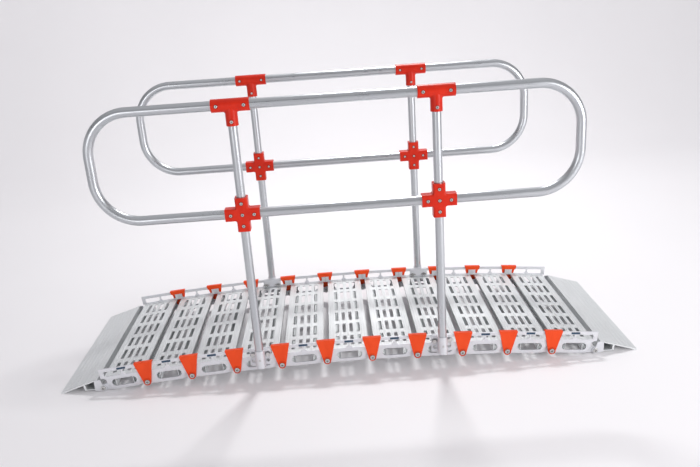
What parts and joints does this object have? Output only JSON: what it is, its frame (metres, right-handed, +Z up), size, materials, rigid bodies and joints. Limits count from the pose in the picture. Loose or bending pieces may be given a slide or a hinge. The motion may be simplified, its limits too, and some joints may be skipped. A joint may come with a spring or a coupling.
{
  "type": "portable wheelchair ramp",
  "caption": "Roll-up aluminium wheelchair ramp of hinged slotted link modules with end flaps, orange joint clips and two clamp-on tube handrails.",
  "frame": {"origin": "on the floor under the middle of the ramp", "axes": "+X along the ramp, +Y across it, +Z up"},
  "size_m": [2.2558, 0.7888, 1.089],
  "materials": {
    "deck_aluminium": "extruded, fine lengthwise lines, silver anodised",
    "plate_aluminium": "punched plate, tumbled satin, silver anodised",
    "tube_aluminium": "drawn tube, satin silver anodised",
    "clip_plastic": "moulded nylon, fine satin grain",
    "clamp_plastic": "moulded nylon, semi-gloss",
    "zinc_steel": "zinc plated"
  },
  "bodies": {
    "centre_section": {"deck_04": "deck_aluminium", "deck_05": "deck_aluminium", "deck_06": "deck_aluminium", "deck_07": "deck_aluminium", "deck_08": "deck_aluminium", "side_plates_04": "plate_aluminium", "side_plates_05": "plate_aluminium", "side_plates_06": "plate_aluminium", "side_plates_07": "plate_aluminium", "side_plates_08": "plate_aluminium", "joint_clips_04": "clip_plastic", "joint_clips_05": "clip_plastic", "joint_clips_06": "clip_plastic", "joint_clips_07": "clip_plastic", "hinge_bolts_middle": "zinc_steel", "hinge_bolts_03": "zinc_steel", "hinge_bolts_08": "zinc_steel", "rail_bends_near": "tube_aluminium", "rail_bends_far": "tube_aluminium", "rail_straights_near": "tube_aluminium", "rail_straights_far": "tube_aluminium", "posts_near": "tube_aluminium", "posts_far": "tube_aluminium", "tee_clamps_near": "clamp_plastic", "tee_clamps_far": "clamp_plastic", "cross_clamps_near": "clamp_plastic", "cross_clamps_far": "clamp_plastic", "post_brackets_near": "plate_aluminium", "post_brackets_far": "plate_aluminium", "clamp_screws": "zinc_steel", "bracket_clamp_plates": "plate_aluminium", "bracket_bolts": "zinc_steel"},
    "module_03": {"deck_03": "deck_aluminium", "side_plates_03": "plate_aluminium", "hinge_bolts_02": "zinc_steel"},
    "clips_03": {"joint_clips_03": "clip_plastic"},
    "module_02": {"deck_02": "deck_aluminium", "side_plates_02": "plate_aluminium", "hinge_bolts_01": "zinc_steel"},
    "clips_02": {"joint_clips_02": "clip_plastic"},
    "module_01": {"deck_01": "deck_aluminium", "side_plates_01": "plate_aluminium", "flap_bolts_left": "zinc_steel"},
    "clips_01": {"joint_clips_01": "clip_plastic"},
    "module_09": {"deck_09": "deck_aluminium", "side_plates_09": "plate_aluminium", "hinge_bolts_09": "zinc_steel"},
    "clips_08": {"joint_clips_08": "clip_plastic"},
    "module_10": {"deck_10": "deck_aluminium", "side_plates_10": "plate_aluminium", "hinge_bolts_10": "zinc_steel"},
    "clips_09": {"joint_clips_09": "clip_plastic"},
    "module_11": {"deck_11": "deck_aluminium", "side_plates_11": "plate_aluminium", "flap_bolts_right": "zinc_steel"},
    "clips_10": {"joint_clips_10": "clip_plastic"},
    "flap_left": {"flap_left": "deck_aluminium", "flap_lugs_left": "plate_aluminium"},
    "flap_right": {"flap_right": "deck_aluminium", "flap_lugs_right": "plate_aluminium"}
  },
  "joints": [
    {"name": "link_03_hinge", "type": "hinge", "parent": "centre_section", "child": "module_03", "pos_m": [-0.43736, 0, 0.05108], "axis": [0, -1, 0], "range_deg": [0, 36]},
    {"name": "clips_03_swing", "type": "hinge", "parent": "centre_section", "child": "clips_03", "pos_m": [-0.43736, 0, 0.05108], "axis": [0, -1, 0], "range_deg": [0, 18]},
    {"name": "link_02_hinge", "type": "hinge", "parent": "module_03", "child": "module_02", "pos_m": [-0.6121, 0, 0.04156], "axis": [0, -1, 0], "range_deg": [0, 36]},
    {"name": "clips_02_swing", "type": "hinge", "parent": "module_03", "child": "clips_02", "pos_m": [-0.6121, 0, 0.04156], "axis": [0, -1, 0], "range_deg": [0, 18]},
    {"name": "link_01_hinge", "type": "hinge", "parent": "module_02", "child": "module_01", "pos_m": [-0.78663, 0, 0.02886], "axis": [0, -1, 0], "range_deg": [0, 36]},
    {"name": "clips_01_swing", "type": "hinge", "parent": "module_02", "child": "clips_01", "pos_m": [-0.78663, 0, 0.02886], "axis": [0, -1, 0], "range_deg": [0, 18]},
    {"name": "link_08_hinge", "type": "hinge", "parent": "centre_section", "child": "module_09", "pos_m": [0.43736, 0, 0.05108], "axis": [0, 1, 0], "range_deg": [0, 36]},
    {"name": "clips_08_swing", "type": "hinge", "parent": "centre_section", "child": "clips_08", "pos_m": [0.43736, 0, 0.05108], "axis": [0, 1, 0], "range_deg": [0, 18]},
    {"name": "link_09_hinge", "type": "hinge", "parent": "module_09", "child": "module_10", "pos_m": [0.6121, 0, 0.04156], "axis": [0, 1, 0], "range_deg": [0, 36]},
    {"name": "clips_09_swing", "type": "hinge", "parent": "module_09", "child": "clips_09", "pos_m": [0.6121, 0, 0.04156], "axis": [0, 1, 0], "range_deg": [0, 18]},
    {"name": "link_10_hinge", "type": "hinge", "parent": "module_10", "child": "module_11", "pos_m": [0.78663, 0, 0.02886], "axis": [0, 1, 0], "range_deg": [0, 36]},
    {"name": "clips_10_swing", "type": "hinge", "parent": "module_10", "child": "clips_10", "pos_m": [0.78663, 0, 0.02886], "axis": [0, 1, 0], "range_deg": [0, 18]},
    {"name": "flap_left_hinge", "type": "hinge", "parent": "module_01", "child": "flap_left", "pos_m": [-0.96091, 0, 0.013], "axis": [0, -1, 0], "range_deg": [-22, 60]},
    {"name": "flap_right_hinge", "type": "hinge", "parent": "module_11", "child": "flap_right", "pos_m": [0.96091, 0, 0.013], "axis": [0, 1, 0], "range_deg": [-22, 60]}
  ],
  "couplings": [
    {"joint": "clips_03_swing", "follows": "link_03_hinge", "ratio": 0.5},
    {"joint": "clips_02_swing", "follows": "link_02_hinge", "ratio": 0.5},
    {"joint": "clips_01_swing", "follows": "link_01_hinge", "ratio": 0.5},
    {"joint": "clips_08_swing", "follows": "link_08_hinge", "ratio": 0.5},
    {"joint": "clips_09_swing", "follows": "link_09_hinge", "ratio": 0.5},
    {"joint": "clips_10_swing", "follows": "link_10_hinge", "ratio": 0.5}
  ]
}
